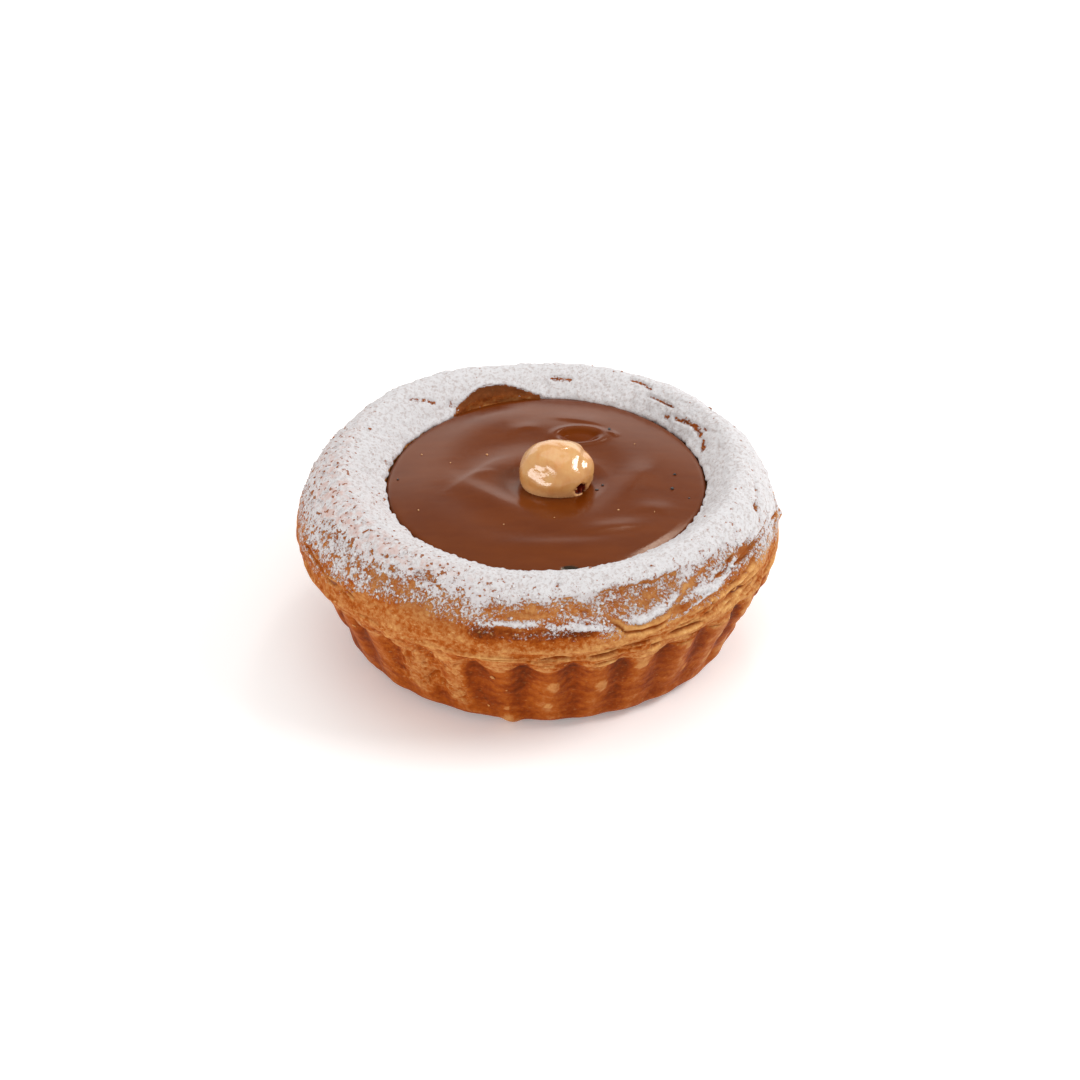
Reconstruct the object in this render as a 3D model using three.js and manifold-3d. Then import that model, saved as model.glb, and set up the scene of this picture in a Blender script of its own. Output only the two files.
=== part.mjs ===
// Chocolate puff pastry: a round tartlet of puff pastry that rose out of a fluted tin,
// filled with chocolate cream, with one roasted hazelnut sunk in the middle.
// Millimetres, +Z up. The origin is the middle of the flat base, and the front faces -Y.
// Angles run from the front towards +X, in radians.
import * as THREE from "three";
import { mergeVertices } from "three/addons/utils/BufferGeometryUtils.js";
import Module from "manifold-3d";

// Pastry: driving dimensions
const BASE_RADIUS = 29.8; // edge of the flat underside
const FOOT_RADIUS = 36.9; // where the rounded foot meets the fluted flank
const FOOT_HEIGHT = 4;
const TIN_X = 0.5; // the rim rose a little to one side of the tin
const TIN_TOP_RADIUS = 41.6; // where the dough left the tin
const TIN_TOP_HEIGHT = 15;
const TIN_TOP_RISE = 1.6; // the tin's edge shows higher at the front, lower at the back
const RIM_RADIUS = 44; // widest ring of the puffed rim
const RIM_HEIGHT = 21.2;
const SHOULDER_POWER = 1.18; // 1 is a quarter of an ellipse, more is leaner
const CREST_RADIUS = 35.8; // top of the rim
const CREST_HEIGHT = 33.4;
const SLOPE_EASE = 0.35; // how much the inner slope flattens towards the crest
const LIP_RADIUS = 29.4; // inner edge of the rim, where the cream starts
const LIP_HEIGHT = 29.3;
const WELL_X = 1.5; // the well sits a little off the middle
const WELL_Y = -0.6;
const WELL_BACK = 0.7; // how much wider it is at the back
const WELL_BACK_ANGLE = THREE.MathUtils.degToRad(165);
const WELL_BACK_SPREAD = THREE.MathUtils.degToRad(100);
const CREST_INSIDE = 0.6; // how much of that the crest shares
const WELL_FLOOR_RADIUS = 25;
const WELL_FLOOR_HEIGHT = 9;
const WELL_CORNER = 2.5;

// Pastry: relief
const FLUTES = 30;
const FLUTE_DEPTH = 1.3;
const FOOT_FLUTE = 0.3; // share of that depth at the foot
const FIRST_VALLEY = THREE.MathUtils.degToRad(-4);
const FLUTE_POWER = 1.5; // narrow valleys between broad lobes
const FLUTE_TOP = 0.5; // above the tin's edge, where a flute starts to run out
const FLUTE_END = 4.8; // and where it has run out, under the widest ring
const LAYER_DEPTH = 0.45; // how far the edges of the dough's layers stand out
const LAYER_START = 1.1; // below the tin's edge, where the layers start to show
const LAYER_FULL = 2.2; // above it, where they stand out fully
const LAYER_SHARE = 0.7; // the part of that which they reach on average
const BAND_CURVE = 1.7; // how the band swells from the tin's edge to the widest ring
const SAG_DEPTH = 0.8; // how far the dough sagged out round the tin's edge at the right
const SAG_ANGLE = THREE.MathUtils.degToRad(64);
const SAG_SPREAD = THREE.MathUtils.degToRad(34);
const LEDGE_DEPTH = 0.8; // a torn layer across the front of the rim
const LEDGE_PLACE = 0.36; // its share of the way from the widest ring to the crest
const LEDGE_REACH = 0.3;
const LEDGE_ANGLE = THREE.MathUtils.degToRad(14);
const LEDGE_SPREAD = THREE.MathUtils.degToRad(62);
const NOTCH_DEPTH = 2.6; // a bare hollow in the inner edge, at the back on the left
const NOTCH_ANGLE = THREE.MathUtils.degToRad(-161.5);
const NOTCH_SPREAD = THREE.MathUtils.degToRad(19);
const NOTCH_FLOOR = 26.6;
const FLAKE_LENGTH = 1; // a loose flake that sticks out at the right
const FLAKE_ANGLE = THREE.MathUtils.degToRad(91);
const FLAKE_SPREAD = THREE.MathUtils.degToRad(4);
const FLAKE_HEIGHT = 22.4;
const FLAKE_REACH = 2;
// Slow waves round the rim, each with its number of turns, its size and its phase.
const RADIUS_WAVES = [[1, 0.3, 1.7], [3, 0.2, 2.1], [5, 0.15, 4.4], [9, 0.12, 1.2]];
const HEIGHT_WAVES = [[1, 0.25, 3.1], [2, 0.2, 3.1], [4, 0.2, 3.6], [7, 0.15, 5.1]];
const LAYER_WAVES = [[3, 0.3, 1.9], [7, 0.25, 0.3], [11, 0.2, 4.2]];

// Chocolate cream
const GAP = 0.3; // space kept between touching pieces
const CREAM_LEVEL = 29;
const SWIRL_DEPTH = 0.28; // spread with a turning spatula
const SWIRL_PITCH = 11;
const LOOP = { x: 8, y: 15.5, long: 5.6, wide: 2.8, ridge: 0.45, width: 0.3 };
const DOME_HEIGHT = 0.8; // how much higher the cream stands in the middle than at its edge

// Hazelnut
const NUT = { x: 3.5, y: -0.4, z: 31.9, length: 14, width: 12.6, height: 11.2 };
const NUT_LUMPS = 0.03; // share of its size
const NUT_CREASE_DEPTH = 0.3;
const NUT_CREASE_PLACE = 0.62; // share of the half length, towards the right
const NUT_CREASE_WIDTH = 0.16;
const NUT_CHIP_DEPTH = 1.1; // where a bit broke off at the right
const NUT_CHIP_AIM = new THREE.Vector3(0.6, -0.77, -0.23).normalize();
const NUT_CHIP_SPREAD = 0.3;

// Fineness of the facets
const SHELL_SEGMENTS = FLUTES * 6;
const FOOT_ROWS = 2;
const FLANK_ROWS = 3;
const BAND_ROWS = 6;
const SHOULDER_ROWS = 7;
const SLOPE_ROWS = 4;
const CREAM_SEGMENTS = 72;
const CREAM_RINGS = 11;
const NUT_SEGMENTS = 24;
const NUT_RINGS = 15;

const { lerp, smoothstep } = THREE.MathUtils;

// 1 in the middle of a feature, falling smoothly to 0 at its edge.
function bump(offset, reach) {
  const share = Math.min(1, Math.abs(offset) / reach);
  return (1 - share * share) ** 2;
}

// The shorter way round from one angle to another.
function turn(from, to) {
  return Math.atan2(Math.sin(to - from), Math.cos(to - from));
}

// The sum of slow waves at an angle.
function waves(list, angle) {
  return list.reduce((sum, [turns, size, phase]) => sum + size * Math.cos(turns * angle + phase), 0);
}

// Evenly spaced shares from 0 up to 1, without the last one.
function shares(steps) {
  return Array.from({ length: steps }, (_, i) => i / steps);
}

// Merges shared corners and drops the flat triangles at the axis.
function weld(geometry) {
  geometry.deleteAttribute("normal");
  geometry.deleteAttribute("uv");
  const merged = mergeVertices(geometry, 1e-4);
  const corners = merged.index.array;
  const kept = [];
  for (let i = 0; i < corners.length; i += 3) {
    const [a, b, c] = corners.slice(i, i + 3);
    if (a !== b && b !== c && c !== a) kept.push(a, b, c);
  }
  merged.setIndex(kept);
  return merged;
}

// A lathe whose every ring is shaped by place(station, angle), which gives a point of the part.
function shapedLathe(stations, segments, place) {
  const outline = stations.map(({ r, z }) => new THREE.Vector2(r, z));
  const geometry = new THREE.LatheGeometry(outline, segments);
  const { position } = geometry.attributes;
  for (let i = 0; i < position.count; i += 1) {
    const column = Math.floor(i / stations.length) % segments;
    const point = place(stations[i % stations.length], (2 * Math.PI * column) / segments);
    position.setXYZ(i, point.x, point.y, point.z);
  }
  return weld(geometry);
}

// A point at a radius, an angle and a height, about a centre.
function around(r, angle, z, centreX = 0, centreY = 0) {
  return new THREE.Vector3(centreX + r * Math.sin(angle), centreY - r * Math.cos(angle), z);
}

// Radius of the well at a height: it narrows a little towards its floor.
function wellRadius(z) {
  const share = (z - WELL_FLOOR_HEIGHT) / (LIP_HEIGHT - WELL_FLOOR_HEIGHT);
  return lerp(WELL_FLOOR_RADIUS, LIP_RADIUS, share);
}

// How much wider the well is at an angle: a little at the back.
function backRoom(angle) {
  return WELL_BACK * bump(turn(WELL_BACK_ANGLE, angle), WELL_BACK_SPREAD);
}

// The pastry's section, from under the middle, up the outside, over the rim and down into the well.
// Each station says how much of each kind of relief it takes.
function shellStations() {
  const underside = [{ r: 0, z: 0, tin: 1 }];
  const foot = shares(FOOT_ROWS).map((share) => {
    const turned = (share * Math.PI) / 2;
    return {
      r: lerp(BASE_RADIUS, FOOT_RADIUS, Math.sin(turned)),
      z: FOOT_HEIGHT * (1 - Math.cos(turned)),
      flute: FOOT_FLUTE * share,
      tin: 1,
    };
  });
  const flank = shares(FLANK_ROWS).map((share) => ({
    r: lerp(FOOT_RADIUS, TIN_TOP_RADIUS, share),
    z: lerp(FOOT_HEIGHT, TIN_TOP_HEIGHT, share),
    flute: lerp(FOOT_FLUTE, 1, share),
    rise: share,
    tin: 1,
    sag: share * share,
  }));
  const band = shares(BAND_ROWS).map((share, i) => ({
    r: RIM_RADIUS - (RIM_RADIUS - TIN_TOP_RADIUS) * (1 - share) ** BAND_CURVE,
    z: lerp(TIN_TOP_HEIGHT, RIM_HEIGHT, share),
    flute: 1,
    rise: 1 - share,
    tin: 1 - share,
    layer: i % 2 ? 1 : -1,
    puff: share,
    sag: (1 - share) ** 2,
  }));
  const shoulder = shares(SHOULDER_ROWS).map((share) => {
    const turned = (share * Math.PI) / 2;
    return {
      r: lerp(CREST_RADIUS, RIM_RADIUS, Math.cos(turned) ** SHOULDER_POWER),
      z: lerp(RIM_HEIGHT, CREST_HEIGHT, Math.sin(turned) ** SHOULDER_POWER),
      puff: 1,
      shoulder: share,
      inside: share * share * CREST_INSIDE,
    };
  });
  const innerSlope = shares(SLOPE_ROWS).map((share) => {
    const climb = 1 - share;
    return {
      r: lerp(LIP_RADIUS, CREST_RADIUS, climb),
      z: lerp(LIP_HEIGHT, CREST_HEIGHT, climb * (1 + SLOPE_EASE * (1 - climb * climb))),
      puff: climb,
      inside: lerp(1, CREST_INSIDE, climb),
      notch: smoothstep(share, 0, 1),
      room: smoothstep(share, 0, 1),
    };
  });
  const wallTop = [LIP_HEIGHT, NOTCH_FLOOR + 1, NOTCH_FLOOR].map((z, i) => ({
    r: wellRadius(z),
    z,
    inside: 1,
    notch: i < 2 ? 1 : 0,
    room: 1,
  }));
  const floor = [
    { r: WELL_FLOOR_RADIUS, z: WELL_FLOOR_HEIGHT + WELL_CORNER, inside: 1 },
    { r: WELL_FLOOR_RADIUS - WELL_CORNER, z: WELL_FLOOR_HEIGHT, inside: 1 },
    { r: 0, z: WELL_FLOOR_HEIGHT, inside: 1 },
  ];
  return [...underside, ...foot, ...flank, ...band, ...shoulder, ...innerSlope, ...wallTop, ...floor];
}

// How far the surface stands out from the plain section, at a station and an angle.
function shellRelief(station, angle) {
  const { z, flute = 0, layer = 0, sag = 0, puff = 0, shoulder = 0, notch = 0, room = 0 } = station;
  const tinTop = TIN_TOP_HEIGHT + TIN_TOP_RISE * Math.cos(angle);
  const valley = 0.5 + 0.5 * Math.cos(FLUTES * (angle - FIRST_VALLEY));
  const fluteFade = 1 - smoothstep(z, tinTop + FLUTE_TOP, tinTop + FLUTE_END);
  const layerRise = smoothstep(z, tinTop - LAYER_START, tinTop + LAYER_FULL);
  const layerShare = Math.max(0, LAYER_SHARE + waves(LAYER_WAVES, angle));
  const ledgeHere = bump(turn(LEDGE_ANGLE, angle), LEDGE_SPREAD);
  const ledgeSide = (LEDGE_PLACE - shoulder) / LEDGE_REACH;
  const ledge = shoulder ? Math.sin(Math.PI * THREE.MathUtils.clamp(ledgeSide, -1, 1)) : 0;
  const flake = bump(turn(FLAKE_ANGLE, angle), FLAKE_SPREAD) * bump(z - FLAKE_HEIGHT, FLAKE_REACH);
  return (
    -FLUTE_DEPTH * flute * valley ** FLUTE_POWER * fluteFade +
    LAYER_DEPTH * layer * layerShare * layerRise +
    SAG_DEPTH * sag * bump(turn(SAG_ANGLE, angle), SAG_SPREAD) +
    puff * waves(RADIUS_WAVES, angle) +
    LEDGE_DEPTH * ledgeHere * ledge +
    NOTCH_DEPTH * notch * bump(turn(NOTCH_ANGLE, angle), NOTCH_SPREAD) +
    room * backRoom(angle) +
    FLAKE_LENGTH * puff * flake
  );
}

function pastryShell() {
  return shapedLathe(shellStations(), SHELL_SEGMENTS, (station, angle) => {
    const { r, z, rise = 0, puff = 0, tin = 0, inside = 0 } = station;
    const lift = TIN_TOP_RISE * rise * Math.cos(angle) + puff * waves(HEIGHT_WAVES, angle);
    const radius = r ? r + shellRelief(station, angle) : 0;
    return around(radius, angle, z + lift, TIN_X * tin + WELL_X * inside, WELL_Y * inside);
  });
}

// Height of the cream's top: a low dome with a spiral left by the spatula and the loop where
// the spatula lifted off. It is flat at the edge.
function creamTop(x, y, edgeShare) {
  const radius = Math.hypot(x - WELL_X, y - WELL_Y);
  const angle = Math.atan2(x - WELL_X, WELL_Y - y);
  const spiral = Math.sin((2 * Math.PI * radius) / SWIRL_PITCH - angle);
  const spread = bump(edgeShare, 1) * smoothstep(radius, 0, SWIRL_PITCH);
  const ring = Math.hypot((x - LOOP.x) / LOOP.long, (y - LOOP.y) / LOOP.wide);
  const loop = LOOP.ridge * Math.exp(-(((ring - 1) / LOOP.width) ** 2));
  const dome = DOME_HEIGHT * bump(edgeShare, 1);
  return CREAM_LEVEL + dome + SWIRL_DEPTH * spiral * spread + loop;
}

// The cream fills the well from its floor to the level that shows.
function chocolateCream() {
  const floorHeight = WELL_FLOOR_HEIGHT + GAP;
  const edgeRadius = wellRadius(CREAM_LEVEL) - GAP;
  const bottom = [
    { r: 0, z: floorHeight },
    { r: WELL_FLOOR_RADIUS - WELL_CORNER - GAP, z: floorHeight },
    { r: WELL_FLOOR_RADIUS - GAP, z: WELL_FLOOR_HEIGHT + WELL_CORNER + GAP },
  ];
  const top = shares(CREAM_RINGS).map((share) => ({
    r: edgeRadius * (1 - share),
    z: CREAM_LEVEL,
    share: 1 - share,
  }));
  const stations = [...bottom, ...top, { r: 0, z: CREAM_LEVEL, share: 0 }];
  return shapedLathe(stations, CREAM_SEGMENTS, ({ r, z, share }, angle) => {
    if (share === undefined) return around(r, angle, z, WELL_X, WELL_Y);
    const point = around(r + share * backRoom(angle), angle, z, WELL_X, WELL_Y);
    point.z = creamTop(point.x, point.y, share);
    return point;
  });
}

// The nut's surface in one direction from its middle: an egg shape with a crease and a chip.
// Grow sets it back or out, for the hollow that it sits in.
function nutPoint(aim, grow) {
  const lump = 1 + NUT_LUMPS * (Math.cos(3 * aim.x + 1) * Math.cos(4 * aim.y) + aim.x * aim.z);
  const crease = NUT_CREASE_DEPTH * bump(aim.x - NUT_CREASE_PLACE, NUT_CREASE_WIDTH);
  const chip = NUT_CHIP_DEPTH * bump(aim.angleTo(NUT_CHIP_AIM), NUT_CHIP_SPREAD);
  const half = new THREE.Vector3(NUT.length, NUT.width, NUT.height).multiplyScalar(lump / 2);
  return half.multiply(aim).addScaledVector(aim, grow - crease - chip);
}

function nutGeometry(grow) {
  const geometry = new THREE.SphereGeometry(1, NUT_SEGMENTS, NUT_RINGS);
  geometry.rotateX(Math.PI / 2);
  const { position } = geometry.attributes;
  for (let i = 0; i < position.count; i += 1) {
    const point = nutPoint(new THREE.Vector3().fromBufferAttribute(position, i).normalize(), grow);
    position.setXYZ(i, point.x, point.y, point.z);
  }
  return weld(geometry);
}

const wasm = await Module();
wasm.setup();

// A closed geometry as a solid, moved to a place.
function solidAt(geometry, place) {
  const moved = geometry.clone().translate(place.x, place.y, place.z);
  return new wasm.Manifold(
    new wasm.Mesh({
      numProp: 3,
      vertProperties: new Float32Array(moved.attributes.position.array),
      triVerts: new Uint32Array(moved.index.array),
    }),
  );
}

// A solid's surface as a geometry.
function geometryOf(solid) {
  const { vertProperties, triVerts } = solid.getMesh();
  return new THREE.BufferGeometry()
    .setAttribute("position", new THREE.BufferAttribute(vertProperties, 3))
    .setIndex(new THREE.BufferAttribute(triVerts, 1));
}

// The cream with the hollow that the nut is pressed into.
function creamRoundNut() {
  const cream = solidAt(chocolateCream(), new THREE.Vector3());
  return geometryOf(cream.subtract(solidAt(nutGeometry(GAP), NUT)));
}

function piece(name, geometry, colour, roughness) {
  const material = new THREE.MeshStandardMaterial({ color: colour, roughness, metalness: 0 });
  const mesh = new THREE.Mesh(geometry, material);
  mesh.name = name;
  return mesh;
}

const pastry = new THREE.Group();
pastry.add(piece("pastry_shell", pastryShell(), "#c58a4f", 0.75));
pastry.add(piece("chocolate_cream", creamRoundNut(), "#71402a", 0.35));
const nut = piece("hazelnut", nutGeometry(0), "#dba968", 0.35);
nut.position.set(NUT.x, NUT.y, NUT.z);
pastry.add(nut);

export default pastry;
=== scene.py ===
import bpy
import itertools
import numpy as np
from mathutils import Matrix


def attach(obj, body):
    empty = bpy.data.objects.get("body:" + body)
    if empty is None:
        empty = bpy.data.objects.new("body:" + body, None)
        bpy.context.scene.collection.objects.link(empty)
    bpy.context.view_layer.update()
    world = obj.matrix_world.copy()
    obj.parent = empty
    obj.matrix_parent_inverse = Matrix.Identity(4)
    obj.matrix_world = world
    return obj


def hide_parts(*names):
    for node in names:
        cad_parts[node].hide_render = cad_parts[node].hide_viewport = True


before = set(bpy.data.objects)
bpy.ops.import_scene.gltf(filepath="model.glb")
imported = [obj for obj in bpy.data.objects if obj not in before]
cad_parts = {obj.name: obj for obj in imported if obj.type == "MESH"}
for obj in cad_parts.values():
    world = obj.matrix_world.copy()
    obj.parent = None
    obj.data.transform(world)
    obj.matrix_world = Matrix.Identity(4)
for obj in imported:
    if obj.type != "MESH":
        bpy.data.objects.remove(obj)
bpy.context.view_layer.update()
mm = 0.001
degree = np.pi / 180
print("frame loaded:", ", ".join(sorted(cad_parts)))

# Lengths below are millimetres, angles run from the front of the pastry towards +X.


# A dictionary whose values can be read and set as form.name.
class Form(dict):
    __getattr__ = dict.__getitem__
    __setattr__ = dict.__setitem__


# Shared maths

# S-curve: 0 below low, 1 above high, 3t^2 - 2t^3 between.
def ease(x, low, high):
    t = np.clip((x - low) / (high - low), 0, 1)
    return t * t * (3 - 2 * t)


# Soft bump: (1 - (offset / reach)^2)^2, and 0 beyond the reach.
def bump(offset, reach):
    t = np.clip(np.abs(offset) / reach, 0, 1)
    return (1 - t * t) ** 2


# Gaussian ridge: e to the minus (offset / width)^2.
def ridge(offset, width):
    return np.exp(-((offset / width) ** 2))


# Straight blend: a at share 0, b at share 1.
def blend(a, b, share):
    return a + (b - a) * share


# Shares from 0 up to 1 without the last.
def shares(count):
    return np.arange(count) / count


# Angles of the columns of a grid, once round from the back.
def turnOf(columns):
    return (shares(columns) * 2 - 1)[None] * np.pi


# Shorter way round from one angle to another.
def turnFrom(middle, angle):
    return np.arctan2(np.sin(angle - middle), np.cos(angle - middle))


# Soft bump round the axis, its middle and half width in degrees.
def sector(angle, middle, spread):
    return bump(turnFrom(middle * degree, angle), spread * degree)


# Sum of cosines, one for each (turns, size, phase).
def waveSum(waves, angle):
    return sum(size * np.cos(turns * angle + phase) for turns, size, phase in waves)


# Value noise from -1 to 1: random numbers on a lattice, blended by S-curves along x, y and z. The lattice
# is turned at random when its cells are cubes.
def grain(points, cell, seed):
    side = 48
    draw = np.random.default_rng(seed)
    lattice = draw.uniform(-1, 1, (side, side, side))
    at = points / np.asarray(cell, float)
    if np.ndim(cell) == 0:
        at = at @ np.linalg.qr(draw.normal(size=(3, 3)))[0]
    low = np.floor(at).astype(int)
    t = at - low
    t = t * t * (3 - 2 * t)
    total = np.zeros(points.shape[:-1])
    for corner in np.ndindex(2, 2, 2):
        i, j, k = np.moveaxis((low + corner) % side, -1, 0)
        total += np.prod(np.where(corner, t, 1 - t), axis=-1) * lattice[i, j, k]
    return total


# Unit normals of a grid that closes round: the step along the angle crossed with the step along the section.
def gridNormals(xyz):
    across = np.roll(xyz, -1, 1) - np.roll(xyz, 1, 1)
    along = np.gradient(xyz, axis=0)
    normal = np.cross(across, along)
    return normal / np.maximum(np.linalg.norm(normal, axis=-1, keepdims=True), 1e-9)


# A closed mesh over rows of points that run round the axis. The first and last row are poles,
# or, as a ring, the last row joins the first. Fields become attributes of the points.
def skin(name, xyz, fields, ring=False):
    rows, cols = xyz.shape[:2]
    number = np.arange(rows * cols).reshape(rows, cols)
    if ring:
        low, high = number, np.roll(number, -1, 0)
    else:  # the whole first row is point 0, the whole last row is the last point
        number = np.clip(number - cols + 1, 0, (rows - 2) * cols + 1)
        low, high = number[:-1], number[1:]
    chosen = np.unique(number, return_index=True)[1]
    corners = np.stack([low, np.roll(low, -1, 1), np.roll(high, -1, 1), high], -1)
    u = shares(cols)
    v = np.arange(len(low) + 1) / len(low)
    uv = np.empty(corners.shape + (2,))
    uv[..., 0] = np.stack([u, u + 1 / cols, u + 1 / cols, u], -1)
    uv[..., 1] = np.stack([v[:-1], v[:-1], v[1:], v[1:]], -1)[:, None]
    keep = np.ones(corners.shape, bool)
    if not ring:  # triangles at the poles
        keep[0, :, 1] = False
        keep[-1, :, 2] = False
    mesh = buildMesh(name, xyz.reshape(-1, 3)[chosen], corners[keep], keep.sum(-1).ravel())
    mesh.uv_layers.new(name="OFBake").data.foreach_set("uv", uv[keep].ravel())
    for key, values in fields.items():
        mesh.attributes.new(key, "FLOAT", "POINT").data.foreach_set("value", values.ravel()[chosen])
    return place(name, mesh)


# A smooth mesh from points in millimetres, the corners of all faces in a row, and each face's count of them.
def buildMesh(name, points, corners, counts):
    mesh = bpy.data.meshes.new(name)
    mesh.vertices.add(len(points))
    mesh.vertices.foreach_set("co", points.ravel() * mm)
    mesh.loops.add(len(corners))
    mesh.loops.foreach_set("vertex_index", corners)
    mesh.polygons.add(len(counts))
    mesh.polygons.foreach_set("loop_start", np.concatenate([[0], np.cumsum(counts)[:-1]]))
    mesh.polygons.foreach_set("use_smooth", np.ones(len(counts), bool))
    mesh.update(calc_edges=True)
    return mesh


# Crumbs as one mesh: at each spot a ball of twenty faces, its corners drawn in or out at random, flattened
# along the normal and sunk a little into what it lies on.
def scatter(name, spots, normals, sizes, flatness, seed):
    draw = np.random.default_rng(seed)
    golden = (1 + 5 ** 0.5) / 2
    signs = list(itertools.product((-1, 1), (-1, 1)))
    ball = np.array([np.roll((0, a, b * golden), turn) for turn in range(3) for a, b in signs])
    apart = np.linalg.norm(ball[:, None] - ball, axis=-1)
    trios = np.array(list(itertools.combinations(range(len(ball)), 3)))
    neighbours = [np.abs(apart[trios[:, i], trios[:, i - 1]] - 2) < 0.01 for i in range(3)]
    trios = trios[np.all(neighbours, axis=0)]
    inward = np.linalg.det(ball[trios]) < 0
    trios[inward] = trios[inward][:, ::-1]
    ball = ball / np.linalg.norm(ball[0])
    count = len(spots)
    corners = ball * draw.uniform(0.7, 1.3, (count, len(ball), 1)) * draw.uniform(0.7, 1.3, (count, 1, 3))
    normals, sizes = normals[:, None], sizes[:, None, None]
    height = np.sum(corners * normals, -1, keepdims=True)
    corners = corners + (flatness - 1) * height * normals
    points = spots[:, None] + corners * sizes / 2 + normals * sizes * flatness / 5
    faces = np.arange(count)[:, None, None] * len(ball) + trios
    mesh = buildMesh(name, points.reshape(-1, 3), faces.ravel(), np.full(count * len(trios), 3))
    return place(name, mesh)


# Puts a finished mesh into the scene, on the part's one body.
def place(name, mesh):
    made = bpy.data.objects.new(name, mesh)
    bpy.context.scene.collection.objects.link(made)
    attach(made, "root")
    print(name, "made,", sum(len(p.vertices) - 2 for p in mesh.polygons), "triangles")
    return made


# Shared material tools

# A colour given as 0 to 255 screen values, turned into the linear values that shaders use.
def tone(red, green, blue):
    c = np.array([red, green, blue]) / 255
    c = np.where(c <= 0.04045, c / 12.92, ((c + 0.055) / 1.055) ** 2.4)
    return (*c.tolist(), 1)


# Gives a piece one new material.
def newMaterial(piece, name):
    material = bpy.data.materials.new(name)
    material.use_nodes = True
    piece.data.materials.clear()
    piece.data.materials.append(material)
    return material.node_tree, material.node_tree.nodes["Principled BSDF"]


# Sets sockets: another node's output is linked, anything else is a constant.
def feed(tree, target, inputs):
    for key, value in inputs.items():
        if isinstance(value, bpy.types.NodeSocket):
            tree.links.new(value, target.inputs[key])
        else:
            target.inputs[key].default_value = value


# A new node with its settings and inputs.
def node(tree, kind, inputs, **settings):
    made = tree.nodes.new("ShaderNode" + kind)
    for key, value in settings.items():
        setattr(made, key, value)
    feed(tree, made, inputs)
    return made


# Place of each point, in metres.
def objectCoords(tree):
    return node(tree, "TexCoord", {}).outputs["Object"]


# One of the attributes that skin gave the points.
def field(tree, name):
    return node(tree, "Attribute", {}, attribute_name=name).outputs["Fac"]


# Noise with features of a given size in millimetres.
def noise(tree, size, detail=3, rough=0.6, stretch=(1, 1, 1)):
    where = node(tree, "Mapping", {"Vector": objectCoords(tree), "Scale": stretch}).outputs[0]
    inputs = {"Vector": where, "Scale": 1 / (size * mm), "Detail": detail, "Roughness": rough}
    return node(tree, "TexNoise", inputs).outputs["Fac"]


# Arithmetic on sockets or numbers.
def calc(tree, operation, *values, clamp=False):
    return node(tree, "Math", dict(enumerate(values)), operation=operation, use_clamp=clamp).outputs[0]


# Value times factor plus offset.
def scaleAdd(tree, value, factor, offset, clamp=False):
    return calc(tree, "MULTIPLY_ADD", value, factor, offset, clamp=clamp)


# Moves a value from one range to 0..1, held at both ends.
def span(tree, value, low, high):
    inputs = {"Value": value, "From Min": low, "From Max": high}
    return node(tree, "MapRange", inputs).outputs["Result"]


# Colour a at share 0, colour b at share 1.
def mix(tree, share, a, b):
    return node(tree, "Mix", {0: share, 6: a, 7: b}, data_type="RGBA").outputs[2]


# Colours along a value, from (place, colour) stops.
def ramp(tree, value, stops):
    made = node(tree, "ValToRGB", {"Fac": value})
    band = made.color_ramp.elements
    while len(band) < len(stops):
        band.new(0.5)
    for element, (at, colour) in zip(band, stops):
        element.position = at
        element.color = colour
    return made.outputs["Color"]


# Normals tilted by the slope of a height, whose whole range is the depth in millimetres.
def bumpFrom(tree, height, depth, strength):
    inputs = {"Height": height, "Distance": depth * mm, "Strength": strength}
    return node(tree, "Bump", inputs).outputs["Normal"]


# Camera, floor and light

view = Form(elevation=33.1, distance=550, aim=(0, 0, 15), aimPixel=(537.5, 547.3), image=1080,
            mmPerPixel=0.1849, sensor=36, clip=(10, 20000))


# Looks down on the aim from the front, moved sideways and up so that the aim falls on its pixel.
def makeCamera():
    tilt = view.elevation * degree
    forward = np.array([0, np.cos(tilt), -np.sin(tilt)])
    up = np.array([0, np.sin(tilt), np.cos(tilt)])
    offRight = (view.image / 2 - view.aimPixel[0]) * view.mmPerPixel
    offUp = (view.aimPixel[1] - view.image / 2) * view.mmPerPixel
    spot = np.array(view.aim) + np.array([offRight, 0, 0]) + up * offUp - forward * view.distance
    data = bpy.data.cameras.new("camera")
    data.sensor_width = view.sensor
    data.lens = view.sensor * view.distance / (view.mmPerPixel * view.image)
    data.clip_start, data.clip_end = (limit * mm for limit in view.clip)
    camera = bpy.data.objects.new("camera", data)
    camera.location = spot * mm
    camera.rotation_euler = (90 * degree - tilt, 0, 0)
    bpy.context.scene.collection.objects.link(camera)
    bpy.context.scene.camera = camera


studio = Form(
    world=(1.0, 0.99, 0.98), worldStrength=0.48, lampAim=(0, 0, 20),
    floorHalf=2500, floorColour=(251, 250, 249), floorRoughness=0.9, floorGlow=0.18,
    lamps=[
        Form(name="softboxLeft", spot=(-580, -540, 210), size=(390, 300), power=2.4, tint=(1, 0.985, 0.965)),
        Form(name="softboxRight", spot=(570, -15, 545), size=(380, 190), power=3.2, tint=(1, 1, 1)),
        Form(name="softboxTop", spot=(-60, 60, 950), size=(900, 900), power=2.5, tint=(1, 1, 1)),
        Form(name="backLight", spot=(0, 400, 152), size=(700, 220), power=0.62, tint=(1, 1, 1)),
        Form(name="edgeLight", spot=(243, 661, 808), size=(140, 170), power=0.9, tint=(1, 1, 1)),
    ])


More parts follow.
